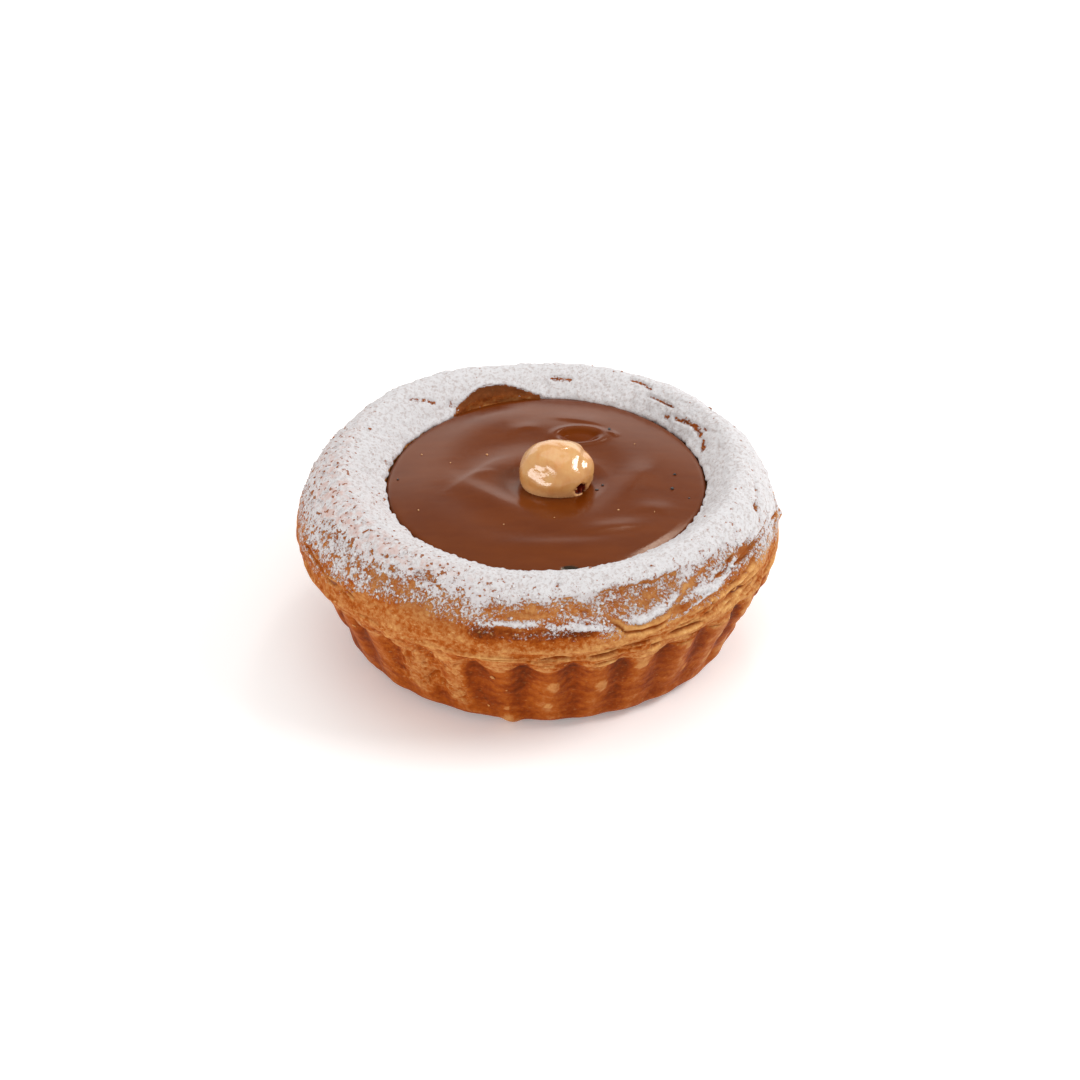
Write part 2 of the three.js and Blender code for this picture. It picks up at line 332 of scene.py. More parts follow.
# An even sky, softboxes that face one aim, and a pale floor that glows a little.
def makeStudio():
    scene = bpy.context.scene
    scene.view_settings.view_transform = "Standard"
    world = bpy.data.worlds.new("studio")
    world.use_nodes = True
    sky = world.node_tree.nodes["Background"]
    feed(world.node_tree, sky, {"Color": (*studio.world, 1), "Strength": studio.worldStrength})
    scene.world = world
    for lamp in studio.lamps:
        data = bpy.data.lights.new(lamp.name, "AREA")
        data.shape = "RECTANGLE"
        data.size, data.size_y = (side * mm for side in lamp.size)
        data.energy = lamp.power
        data.color = lamp.tint
        made = bpy.data.objects.new(lamp.name, data)
        aim = np.array(studio.lampAim) - np.array(lamp.spot)
        made.location = np.array(lamp.spot) * mm
        flat = np.hypot(aim[0], aim[1])
        made.rotation_euler = (np.arctan2(flat, -aim[2]), 0, np.arctan2(-aim[0], aim[1]))
        scene.collection.objects.link(made)
    half = studio.floorHalf * mm
    corners = [(-half, -half, 0), (half, -half, 0), (half, half, 0), (-half, half, 0)]
    mesh = bpy.data.meshes.new("floor")
    mesh.from_pydata(corners, [], [(0, 1, 2, 3)])
    floor = bpy.data.objects.new("floor", mesh)
    scene.collection.objects.link(floor)
    tree, shader = newMaterial(floor, "paleFloor")
    feed(tree, shader, {"Base Color": tone(*studio.floorColour), "Roughness": studio.floorRoughness,
                        "Emission Color": (1, 1, 1, 1), "Emission Strength": studio.floorGlow})


makeCamera()
makeStudio()
print("camera, floor and light ready")


# Pastry crust

crustForm = Form(
    baseRadius=29.8, footRadius=36.9, footHeight=4, tinX=0.5, tinTopRadius=41.6, tinTopHeight=15,
    tinTopRise=1.6, rimRadius=44, rimHeight=21.2, bandCurve=1.7, shoulderPower=1.18, crestRadius=35.8,
    crestHeight=33.4, slopeEase=0.35, lipRadius=29.4, lipHeight=29.3, wellX=1.5, wellY=-0.6,
    crestInside=0.6, wellFloorRadius=25, wellFloorHeight=9, wellCorner=2.5,
    flutes=30, fluteDepth=1.3, footFlute=0.3, firstValley=-4, flutePower=1.5, fluteTop=0.5, fluteEnd=4.8,
    # what lies at one side: its middle and half width in degrees, then its sizes
    back=(165, 100), backDepth=0.7, ledge=(14, 62), ledgeDepth=0.8, ledgePlace=0.36, ledgeReach=0.3,
    notch=(-161.5, 19), notchDepth=2.6, notchFloor=26.6, sag=(64, 34), sagDepth=0.8,
    flake=(91, 3.4), flakeLength=1.1, flakeHeight=22.2, flakeReach=1.7,
    radiusWaves=[(1, 0.3, 1.7), (3, 0.2, 2.1), (5, 0.15, 4.4), (9, 0.12, 1.2)],
    heightWaves=[(1, 0.25, 3.1), (2, 0.2, 3.1), (4, 0.2, 3.6), (7, 0.15, 5.1)],
    # lengths of the section's stretches, measured up from the widest ring
    footLength=8, flankLength=11.7, bandLength=6.7, shoulderLength=15.5, slopeLength=8,
    undersideAlong=-30, floorAlong=50,
    # shares of the shoulder between which its rows lie closest
    fineFrom=0.2, fineTo=0.62)


# One torn edge or slit of the dough. It runs through degrees and millimetres above the widest ring, stands
# out by its height or is a groove, holds more or less sugar, may be dark or pale, and runs out at each end
# over a share of its length.
def tear(degrees, along, width, height, sugar=-1, dark=0, pale=0, taper=0.3):
    return Form(degrees=degrees, along=along, width=width, height=height, sugar=sugar, dark=dark, pale=pale,
                taper=taper)


tears = [
    tear((-15, -8, -1, 2), (5.5, 5.7, 6.2, 6.6), 0.4, 0.5, sugar=1.3),
    tear((-13, -6, 0, 4), (6.5, 6.9, 7.1, 7.2), 0.3, -0.3, sugar=-0.3, dark=0.3),
    tear((-14, -8, 0, 4), (4.9, 5.2, 5.3, 5.3), 0.3, -0.3, sugar=-0.5, dark=0.3),
    tear((2, 8, 14, 20), (5.3, 5.1, 4.65, 4.2), 0.34, 0.45, sugar=1.2),
    tear((12.8, 15, 17, 20, 24, 28, 31, 34, 38, 44, 50),
         (8.7, 7.0, 5.6, 4.35, 3.8, 3.9, 4.35, 5.4, 6.8, 7.75, 7.75),
         0.42, 0.3, sugar=-0.9, pale=0.4, taper=0.2),
    tear((16, 20, 24, 28, 32), (5.7, 3.8, 3.3, 3.4, 4.1), 0.25, -0.6, dark=0.9, taper=0.15),
    tear((18.5, 22, 26, 30, 34, 38), (5.1, 4.9, 4.9, 5.3, 6.0, 6.6), 0.55, 0.5, sugar=1.8),
    tear((36, 40, 46, 52, 58), (5.9, 5.6, 4.9, 5.4, 6.6), 0.6, 0.4, sugar=1.4),
    tear((45.5, 50, 54, 57.5), (5.5, 5.8, 6.3, 6.9), 0.22, -0.5, sugar=-1.5, dark=1),
    tear((31, 36, 42, 48), (3.7, 3.9, 4.3, 4.8), 0.25, 0.2, sugar=1.1),
    tear((-80, -70, -60, -55, -50, -47, -45), (3.9, 3.6, 3.1, 2.9, 2.6, 1.0, -1.2), 0.3, -0.45, dark=0.55),
    tear((-80, -70, -60, -55, -50, -47, -45), (4.5, 4.2, 3.7, 3.5, 3.2, 1.6, -0.6), 0.35, 0.3, sugar=-0.2),
    tear((-56.5, -55.5, -54), (2.9, 2.9, 2.9), 0.3, -0.7, dark=1),
    tear((-49.5, -48, -46.5), (3.3, 3.1, 2.8), 0.2, -0.5, dark=0.9),
    # slits between the layers
    tear((0, 4.8, 9), (0.1, 0.4, -0.4), 0.46, -1.0, dark=1),
    tear((11, 16, 20.6), (-1.1, -0.75, 0.1), 0.6, -1.2, dark=1),
    tear((12.5, 19.5), (-3.6, -3.3), 0.34, -0.8, dark=1),
    tear((26, 30), (-1.4, -0.3), 0.5, -1.1, dark=1),
    tear((31, 35, 42.5), (0.9, 0.8, 0.3), 0.5, -1.1, dark=1),
    tear((33, 39), (1.9, 1.7), 0.26, -0.5, dark=0.9),
    tear((42.8, 44.6), (2.5, 3.0), 0.32, -0.6, dark=1),
    tear((48, 51.5), (0.5, 0.3), 0.42, -0.8, dark=1),
    tear((52.5, 57), (1.2, 2.2), 0.45, -0.8, dark=0.9),
    tear((72.5, 75, 77.5), (9.0, 9.4, 9.9), 0.55, -1.3, sugar=-2.5, dark=1),
    tear((79, 82, 86, 90), (4.9, 4.3, 3.2, 2.3), 0.28, -0.5, sugar=-2, dark=1),
    tear((69, 74, 78, 82, 88), (6.3, 7.8, 9.4, 10.6, 11.9), 0.5, -0.12, sugar=-0.8),
    tear((-2, 5), (-3.3, -3.2), 0.36, -0.8, dark=1),
    tear((-17, -9, 0.5), (-0.6, -0.1, 0.2), 0.26, -0.6, dark=0.9),
]

# Hollows where a blister broke open: middle in degrees and millimetres above the widest ring, half width
# in degrees, half height, depth, and how bare of sugar they are.
hollows = [
    (25, 7.9, 13.5, 2.5, 0.6, 0.7), (50, 8.1, 8, 1.3, 0.35, 0.5), (2, 7.6, 14, 1.5, 0.3, 0.8),
    (-30.3, 10.7, 3.6, 0.9, 0.5, 0.9), (-39, 9.8, 2.2, 0.6, 0.35, 0.8), (-38, 8.0, 11, 1.3, 0.1, 0.5),
    (-62, 8.0, 10, 2.2, 0.15, 0.4), (4.5, 12.3, 0.8, 0.4, 0.3, 1),
    (160, 7.5, 12, 1.6, 0.4, 0.8), (-125, 7.8, 10, 1.5, 0.35, 0.7), (118, 6.5, 9, 1.3, 0.35, 0.7),
]

# Blisters on the fluted side: degrees, height, half width, half height, how far they stand out.
blisters = [
    (16, 10.9, 1.5, 1.9, 0.3), (3.7, 11.7, 1.3, 2.0, 0.25), (25.8, 14.4, 1.6, 0.8, 0.3),
    (42, 8.2, 1.4, 1.3, 0.25), (2, 6.3, 1.0, 0.8, 0.2), (-9, 5.3, 0.7, 0.6, 0.2), (39, 15.4, 1.2, 0.7, 0.25),
    (53, 13, 1.2, 1.5, 0.25), (-8, 1.6, 2.4, 2.2, 0.7), (-75, 9, 1.3, 1.2, 0.25), (98, 11, 1.5, 1.3, 0.3),
    (131, 8, 1.2, 1.6, 0.25), (-140, 10, 1.4, 1.2, 0.3), (170, 12, 1.5, 1.0, 0.25), (-105, 7, 1.1, 1.1, 0.2),
]

crustGrid = Form(columns=630, underside=3, foot=7, flank=23, band=28, lowShoulder=20, midShoulder=40,
                 topShoulder=12, slope=14, wall=8)

# Fine relief. The first two lines are places: a middle and a half width in degrees, or a range in which
# something starts or ends. The rest are heights, depths and widths.
crustRelief = Form(
    patch=(-30, 24), patchFoot=(3, 7), patchTop=(-1.5, 1), patchEdge=(-21, -18.5), right=(72, 34),
    left=(-75, 40), layers=(62, 40), open=(52, 45), worn=(62, 34), wornFoot=(2, 5),
    printDrop=0.4, printRise=2.4, printFlutes=1.4, layersTop=2, layersRise=3, layersFade=3.5, layersTurn=20,
    plateDepth=0.38, plateOpen=0.15, slitWidth=0.12, slitDepth=0.6, slitOpen=0.3, arcPitch=1.9,
    arcDepth=0.03, leftDepth=0.5, rightDepth=0.4, poreDepth=0.5, lobeWidth=0.5, tearLips=0.2, lipWidth=1.2)


# Rows of one stretch of the section: radius, height, way along it, and how much each deformation acts there.
def stretch(r, z, along, **weights):
    names = ("flute", "rise", "tin", "puff", "sag", "inside", "notch", "shoulder", "onRim", "onSlope")
    made = {name: np.zeros_like(r) for name in names}
    made.update({name: np.zeros_like(r) + value for name, value in weights.items()})
    return Form(r=r, z=z, along=along, **made)


# Stretches one after another, as a column of rows.
def joinRows(parts):
    return Form({key: np.concatenate([part[key] for part in parts])[:, None] for key in parts[0]})


# Rows of the shoulder from a start up to the crest, in three zones.
def shoulderShares(start, low, middle, top):
    fineFrom, fineTo = crustForm.fineFrom, crustForm.fineTo
    return np.concatenate([blend(start, fineFrom, shares(low)), blend(fineFrom, fineTo, shares(middle)),
                           blend(fineTo, 1, shares(top))])


# Section of the puffed rim from the widest ring to the crest: a lean quarter of an ellipse.
def shoulderStretch(s):
    f = crustForm
    return stretch(
        blend(f.crestRadius, f.rimRadius, np.cos(s * np.pi / 2) ** f.shoulderPower),
        blend(f.rimHeight, f.crestHeight, np.sin(s * np.pi / 2) ** f.shoulderPower),
        f.shoulderLength * s, puff=1, shoulder=s, inside=s * s * f.crestInside, onRim=1)


# Section from the crest down to the lip: a slope that flattens towards the crest.
def slopeStretch(s):
    f = crustForm
    climb = 1 - s
    return stretch(
        blend(f.lipRadius, f.crestRadius, climb),
        blend(f.lipHeight, f.crestHeight, climb * (1 + f.slopeEase * (1 - climb * climb))),
        f.shoulderLength + f.slopeLength * s, puff=climb, inside=blend(1, f.crestInside, climb),
        notch=1, shoulder=1, onRim=1, onSlope=s)


# Wall of the well: a straight taper between lip and floor.
def wallStretch(z):
    f = crustForm
    share = (z - f.wellFloorHeight) / (f.lipHeight - f.wellFloorHeight)
    along = f.shoulderLength + f.slopeLength + f.lipHeight - z
    return stretch(blend(f.wellFloorRadius, f.lipRadius, share), z, along, inside=1,
                   notch=np.clip(z - f.notchFloor, 0, 1), shoulder=1, onSlope=1)


# All rows of the section, from under the middle, up the outside, over the rim, into the well: a quarter of
# an ellipse at the foot, a straight taper in the tin, and a power curve out to the widest ring.
def crustRows():
    f, g = crustForm, crustGrid
    s = shares(g.underside)
    underside = stretch(f.baseRadius * s, 0 * s, 0 * s + f.undersideAlong, tin=1)
    s = shares(g.foot)
    foot = stretch(blend(f.baseRadius, f.footRadius, np.sin(s * np.pi / 2)),
                   f.footHeight * (1 - np.cos(s * np.pi / 2)),
                   f.footLength * (s - 1) - f.bandLength - f.flankLength,
                   flute=f.footFlute * s, tin=1)
    s = shares(g.flank)
    flank = stretch(blend(f.footRadius, f.tinTopRadius, s),
                    blend(f.footHeight, f.tinTopHeight, s),
                    f.flankLength * (s - 1) - f.bandLength,
                    flute=blend(f.footFlute, 1, s), rise=s, tin=1, sag=s * s)
    s = shares(g.band)
    band = stretch(f.rimRadius - (f.rimRadius - f.tinTopRadius) * (1 - s) ** f.bandCurve,
                   blend(f.tinTopHeight, f.rimHeight, s), f.bandLength * (s - 1),
                   flute=1, rise=1 - s, tin=1 - s, puff=s, sag=(1 - s) ** 2)
    shoulder = shoulderStretch(shoulderShares(0, g.lowShoulder, g.midShoulder, g.topShoulder))
    slope = slopeStretch(shares(g.slope))
    wall = wallStretch(np.append(np.linspace(f.lipHeight, f.notchFloor, g.wall),
                                 f.wellFloorHeight + f.wellCorner))
    r = np.array([f.wellFloorRadius - f.wellCorner, 0])
    floor = stretch(r, 0 * r + f.wellFloorHeight, 0 * r + f.floorAlong, inside=1)
    return joinRows([underside, foot, flank, band, shoulder, slope, wall, floor])


# Radius of the well at the lip: a circle that widens a little at the back.
def wellRadius(angle):
    f = crustForm
    return f.lipRadius + f.backDepth * sector(angle, *f.back)


# Crust without its fine relief: the section, pushed in at the flutes and out by slow waves, the front ledge,
# the sag at the right and the loose flake, which is a pyramid; the hollow at the back widens the well. Gives
# the points of a grid of rows and angles, the height of the tin's edge, and the flutes.
def crustBody(rows, angle):
    f = crustForm
    z, share = rows.z, rows.shoulder
    tinTop = f.tinTopHeight + f.tinTopRise * np.cos(angle)
    valley = (0.5 + 0.5 * np.cos(f.flutes * (angle - f.firstValley * degree))) ** f.flutePower
    valley = valley * (1 - ease(z, tinTop + f.fluteTop, tinTop + f.fluteEnd)) * rows.flute
    ledge = np.sin(np.pi * np.clip((f.ledgePlace - share) / f.ledgeReach, -1, 1)) * (share > 0)
    ledge = ledge * sector(angle, *f.ledge)
    lip = wellRadius(angle) + f.notchDepth * sector(angle, *f.notch)
    middle, spread = f.flake
    aside = np.abs(turnFrom(middle * degree, angle)) / (spread * degree)
    flake = np.maximum(0, 1 - aside) * np.maximum(0, 1 - np.abs(z - f.flakeHeight) / f.flakeReach)
    out = (rows.puff * (waveSum(f.radiusWaves, angle) + f.flakeLength * flake)
           + rows.sag * f.sagDepth * sector(angle, *f.sag)
           + f.ledgeDepth * ledge - f.fluteDepth * valley
           + rows.notch * np.maximum(0, lip - rows.r))
    r = np.where(rows.r > 0, rows.r + out, 0)
    lift = f.tinTopRise * rows.rise * np.cos(angle) + rows.puff * waveSum(f.heightWaves, angle)
    x = f.tinX * rows.tin + f.wellX * rows.inside + r * np.sin(angle)
    y = f.wellY * rows.inside - r * np.cos(angle)
    return np.stack([x, y, z + lift], -1), tinTop, valley


# Fine relief of the crust, laid on along the normals: lumps and pores from noise, thin dough layers from
# noise that is stretched sideways, slits where that noise crosses zero, torn edges as ridges and grooves
# along their lines, hollows and blisters. Gives points, normals and the fields that the finish reads.
def crustSurface(rows, angle):
    f = crustRelief
    xyz, tinTop, valley = crustBody(rows, angle)
    normal = gridNormals(xyz)
    z = xyz[..., 2]
    whole = np.zeros_like(z)
    along, rim, inDegrees = rows.along + whole, rows.onRim + whole, angle / degree + whole
    outside = ease(along, -32, -18) * (rows.onSlope == 0)
    flank = outside * (1 - rim)
    rough = grain(xyz, 2.6, 1)
    # left of the front a broad patch of the side never met the tin
    patch = sector(angle, *f.patch) * (1 + 0.6 * grain(xyz, 5, 16) + 0.3 * rough)
    patch = ease(patch, 0.35, 0.7) * (1 - ease(inDegrees + rough, *f.patchEdge))
    patch = patch * ease(z + 2 * rough, *f.patchFoot) * (1 - ease(along, *f.patchTop)) * outside
    # the print of the tin ends in a ragged line, higher at the right and in the valleys
    printEnd = tinTop - f.printDrop + f.printRise * sector(angle, *f.right) + f.printFlutes * valley
    printEnd = printEnd + 0.9 * rough + 0.4 * grain(xyz, 1.2, 29)
    risen = np.maximum(ease(z, printEnd - 0.6, printEnd + 0.8), patch) * outside
    layersEnd = f.layersTop + f.layersRise * sector(angle, *f.layers)
    layered = outside * (0.5 + 0.5 * ease(np.sin(angle + f.layersTurn * degree), -0.3, 0.5))
    layered = layered * ease(z, printEnd - 0.2, printEnd + 0.6)
    layered = layered * (1 - ease(along, layersEnd, layersEnd + f.layersFade))
    plates = 0.75 * grain(xyz, (14, 14, 0.9), 2) + 0.4 * grain(xyz, (8, 8, 0.5), 3)
    plates = plates + 0.15 * grain(xyz, (3, 3, 0.35), 17)
    loose = sector(angle, *f.open)
    slit = ridge(plates, f.slitWidth) * ease(grain(xyz, (8, 8, 2), 4) + 0.2 * loose, -0.1, 0.3) * layered
    # faint curved lines in the print of the tin
    arcs = np.sin(2 * np.pi * (z - 1.5 * valley + 0.7 * rough) / f.arcPitch)
    lumps = 0.3 * grain(xyz, 8, 6) + 0.16 * rough + 0.09 * grain(xyz, 1.2, 7)
    pores = ease(grain(xyz, 0.9, 11) + 0.3 * grain(xyz, 0.5, 12), 0.22, 0.6)
    uneven = (0.14 * rough + 0.05 * grain(xyz, 1.1, 8)
              + f.leftDepth * sector(angle, *f.left) * grain(xyz, (5, 5, 3), 20)
              + f.rightDepth * sector(angle, *f.right) * grain(xyz, (2.6, 2.6, 2), 33))
    spongy = 0.25 * grain(xyz, (2.4, 2.4, 1.2), 9) + 0.25 * grain(xyz, 0.9, 18) - f.poreDepth * pores
    relief = (rim * lumps + flank * uneven + patch * spongy + outside * (1 - risen) * f.arcDepth * arcs
              + layered * ((f.plateDepth + f.plateOpen * loose) * plates + 0.1)
              - (f.slitDepth + f.slitOpen * loose) * slit
              + risen * (1 - rim) * 0.1 * grain(xyz, (5, 5, 0.6), 5))
    # worn edges where the dough bulged over the tin
    lobes = 0.5 * ridge(z - printEnd - 0.3, f.lobeWidth) * (1 - valley) * outside * (1 - patch)
    worn = sector(angle, *f.worn) * (1 - valley) * ease(grain(xyz, (1.6, 1.6, 2.6), 34), 0, 0.6)
    lobes = np.maximum(lobes, 0.75 * worn * outside * (1 - risen) * ease(z, *f.wornFoot))
    fields = Form(slit=slit + 0.9 * patch * pores, sugar=whole + 0.0, bare=whole + 0.0,
                  pale=np.maximum(patch * (0.5 * grain(xyz, 1.3, 19) - 0.15), lobes))
    waver = 0.3 * grain(xyz, 2.1, 13)
    for torn in tears:
        start, end, width = torn.degrees[0], torn.degrees[-1], torn.width
        taper = torn.taper * (end - start)
        off = along + waver - np.interp(inDegrees, torn.degrees, torn.along)
        wavy = inDegrees + 2 * waver
        ends = ease(wavy, start, start + taper) * (1 - ease(wavy, end - taper, end))
        line = ridge(off, width * (0.4 + 0.6 * ends)) * ends * (1 + 0.5 * rough)
        lips = ridge(np.abs(off) - 1.7 * width, width) * ends * (torn.dark > 0.6)
        relief += torn.height * line + f.tearLips * lips
        fields.pale = np.maximum(fields.pale, 0.8 * lips + torn.pale * line)
        fields.slit = np.maximum(fields.slit, torn.dark * line)
        fields.sugar += torn.sugar * line
    for middle, height, halfWide, halfTall, depth, bareness in hollows:
        off = np.hypot(turnFrom(middle * degree, angle) / (halfWide * degree), (along - height) / halfTall)
        inside = 1 - ease(off + 0.3 * rough + 0.25 * grain(xyz, 1.1, 14), 0.4, 1.4)
        relief -= depth * inside * (1 + 0.5 * grain(xyz, 1.3, 10))
        fields.bare = np.maximum(fields.bare, bareness * inside)
    for middle, height, halfWide, halfTall, stand in blisters:
        aside = turnFrom(middle * degree, angle) * rows.r
        dome = bump(np.hypot(aside / halfWide, (z - height) / halfTall) + 0.2 * rough, 1) * (along < 0)
        relief += stand * dome
        fields.pale = np.maximum(fields.pale, 0.8 * ease(dome, 0.02, 0.3))
    # soft edge of the lip
    lipAlong = crustForm.shoulderLength + crustForm.slopeLength
    relief += (0.25 * grain(xyz, 1.6, 15) + 0.2 * grain(xyz, 0.8, 30)) * ridge(along - lipAlong, f.lipWidth)
    touched = np.clip(outside + rim + (rows.notch > 0), 0, 1)
    xyz = xyz + normal * (relief * touched)[..., None]
    fields.update(print=outside * (1 - risen), arcs=arcs, layered=layered, plates=plates, valley=valley)
    fields.slit = np.clip(fields.slit, 0, 1)
    return xyz, gridNormals(xyz), fields


# Icing sugar: how thick it lies, below zero where the crust is bare

sugarForm = Form(
    thickness=0.5, columns=800, lowRows=12, midRows=52, topRows=24, slopeRows=23, start=0.06,
    wallRows=(0, 0.2, 0.4, 0.7), underRows=8, underDepth=0.7, tuck=0.2, upward=(-0.25, 0.12),
    # degrees round the rim, and there, as shares of the way to the crest, where the sugar hides half of the
    # crust and where it hides all of it
    degrees=(-140, -110, -75, -65, -50, -40, -30, -20, -10, 0, 10, 20, 30, 40, 50, 60, 75, 90, 140, 180),
    half=(0.3, 0.22, 0.14, 0.17, 0.29, 0.41, 0.44, 0.41, 0.38, 0.35, 0.33, 0.3, 0.29, 0.3, 0.31, 0.3, 0.14,
          0.01, 0.2, 0.3),
    full=(0.56, 0.54, 0.46, 0.49, 0.6, 0.68, 0.7, 0.68, 0.66, 0.64, 0.64, 0.64, 0.62, 0.6, 0.58, 0.53, 0.36,
          0.18, 0.44, 0.54),
    pits=(-66, 70), pitSize=0.9, pitDepth=0.5,
    # cracks on the inner slope: degrees, millimetres above the widest ring, width
    cracks=[((108, 112, 120, 127, 133), (21.8, 20.6, 19.8, 20.4, 21.2), 0.4),
            ((113, 116, 118), (18.6, 19, 19.4), 0.22),
            ((143, 146, 151), (17.2, 16.6, 16.4), 0.3), ((171, 175, 178), (19.2, 19, 18.8), 0.28),
            ((132, 137, 142), (19.2, 18.9, 18.8), 0.22), ((-140, -136, -133), (20, 18.6, 17.6), 0.2)])


# Sugar at each point: above 0 a layer that hides the crust, from 0 down to -1 ever thinner dust. It grows
# with the way up the rim, less what pits, hollows, slits and cracks take, plus what torn edges catch.
def sugarAmount(xyz, normal, rows, angle, fields):
    f = sugarForm
    along = rows.along
    inDegrees = angle / degree
    half, full = (np.interp(inDegrees, f.degrees, f[name], period=360) * crustForm.shoulderLength
                  for name in ("half", "full"))
    blotch = 0.45 * grain(xyz, 1.4, 21) + 0.4 * grain(xyz, 0.75, 22) + 0.3 * grain(xyz, 0.45, 23)
    reach = (along + 0.45 * grain(xyz, 3.2, 24) - half) / (full - half)
    amount = np.clip(0.5 * (reach - 1) + 0.75 * np.minimum(reach, 0), -1.2, 0.3) + 0.3 * blotch
    upward = np.maximum(ease(normal[..., 2], *f.upward), rows.onSlope > 0)
    amount -= 1.5 * (1 - upward)
    pitted = 0.3 + 0.7 * sector(angle, *f.pits)
    pitted = pitted * (1 - 0.6 * ease(along, 13, 18))
    amount -= f.pitDepth * pitted * ease(grain(xyz, f.pitSize, 25), 0.1, 0.6)
    amount -= fields.bare * (0.62 - 0.4 * blotch) + 1.3 * fields.slit * (along < 15)
    amount += fields.sugar * (0.75 + 0.4 * blotch) * ease(reach, -1.2, -0.4)
    crack = 0 * blotch
    for degrees, heights, width in f.cracks:
        off = along + 0.3 * grain(xyz, 1.3, 27) - np.interp(inDegrees, degrees, heights)
        past = np.maximum(degrees[0] - inDegrees, inDegrees - degrees[-1])
        line = ridge(off, width) * (1 - ease(past, -1, 1)) * ease(grain(xyz, 2, 28), -0.7, -0.2)
        crack = np.maximum(crack, line)
    # the steep wall of the hollow at the back stays bare
    hollow = ease(sector(angle, *crustForm.notch), 0.02, 0.1)
    wall = hollow * (1 - ease(normal[..., 2] + 0.1 * blotch, 0.5, 0.72)) * (along > 17)
    return amount - 3 * np.maximum(wall, crack), Form(pit=pitted, wall=wall, crack=crack)


# How brown each place is baked, from 0 pale to 1 dark, and by how much each thing changes that; some entries
# are painted shade.
crustBake = Form(inTin=0.65, valleys=0.24, arcs=0.03, above=0.5, valleysAbove=0.2, layers=0.03, plates=-0.14,
                 edge=0.36, edgeHeight=4.6, edgeWidth=1.1, foot=0.25, pale=-0.24, crack=0.45,
                 hollow=0.13, hollowTop=0.5, hollowPlates=-0.25, sides=(-70, 70), sideSpread=60,
                 frontStart=(-24, -13), frontEnd=(9, 19))


# The crust's surface, with how brown it is baked: dark in the print of the tin and more so in its valleys,
# partly as painted shade, pale layers above, and a darker band under the sugar at the front, which is
# painted shade under the ledge.
def makeCrust():
    f = crustBake
    rows = crustRows()
    angle = turnOf(crustGrid.columns)
    xyz, normal, fields = crustSurface(rows, angle)
    amount, marks = sugarAmount(xyz, normal, rows, angle, fields)
    along, z, prints, valley = rows.along, xyz[..., 2], fields.print, fields.valley
    inDegrees = angle / degree
    front = ease(inDegrees, *f.frontStart) * (1 - ease(inDegrees, *f.frontEnd))
    left, right = (sector(angle, middle, f.sideSpread) for middle in f.sides)
    # flute valleys darker: partly baked colour, partly painted shade in the grooves
    inTin = f.inTin - 0.09 * right + (f.valleys + 0.1 * right) * valley ** 0.6 + f.arcs * fields.arcs
    above = f.above + f.valleysAbove * valley + 0.06 * left
    layers = f.layers - 0.08 * right + (f.plates - 0.07 * right) * fields.plates
    # the hollow's wall is darker towards its top: painted shade under the overhanging sugar
    hollow = f.hollow + f.hollowTop * ease(z, 29.2, 31) + f.hollowPlates * fields.plates
    # darker along the bottom edge of the crust, over the lowest 2 mm
    bake = (blend(above, inTin, prints) + fields.layered * layers + f.foot * (1 - ease(z, 0.2, 2))
            # darker band under the sugar at the front: painted shade under the ledge
            + f.edge * front * ridge(along - f.edgeHeight, f.edgeWidth)
            + f.pale * fields.pale + f.crack * marks.crack + marks.wall * hollow)
    # a dull veil over the crust under the dust and on the hollow's wall: the tint of the dust, with painted
    # shade between its grains and under the overhang
    veil = 0.35 * ease(along - 2.5 * left, 3, 5.5) * (1 - 0.4 * front) * rows.onRim + 0.4 * marks.wall
    dust = np.clip(1 + amount, 0, 1.4) * rows.onRim
    piece = skin("pastry_crust", xyz, dict(bake=bake, slit=fields.slit, dust=dust, veil=veil,
                                           pit=marks.pit, print=prints, layer=fields.layered))
    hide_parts("pastry_shell")
    return piece, xyz, normal, amount


crustFinish = Form(
    stops=[(0.0, (236, 200, 140)), (0.25, (214, 158, 94)), (0.45, (190, 128, 72)), (0.54, (177, 108, 55)),
           (0.64, (163, 81, 22)), (0.8, (130, 54, 8)), (1.0, (76, 27, 3))],
    slitColour=(150, 67, 9), flake=(238, 196, 134), veil=(136, 80, 44), dustColour=(206, 201, 202),
    mottleSize=4.5, poreSize=0.8, streakSize=2.2, fleckSize=0.8, powderSize=0.45, mirror=0.04,
    bumpDepth=0.25)


# White grains of sugar: noise below a limit, which rises with the dust's density and falls in small pits.
def powder(tree, size, density):
    grains = noise(tree, size, 4, 0.75)
    holes = span(tree, noise(tree, size * 2.1, 2, 0.5), 0.58, 0.7)
    limit = scaleAdd(tree, density, 0.27, 0.366)
    limit = scaleAdd(tree, calc(tree, "MULTIPLY", holes, field(tree, "pit")), -0.65, limit)
    return span(tree, calc(tree, "SUBTRACT", limit, grains), -0.05, 0.055)
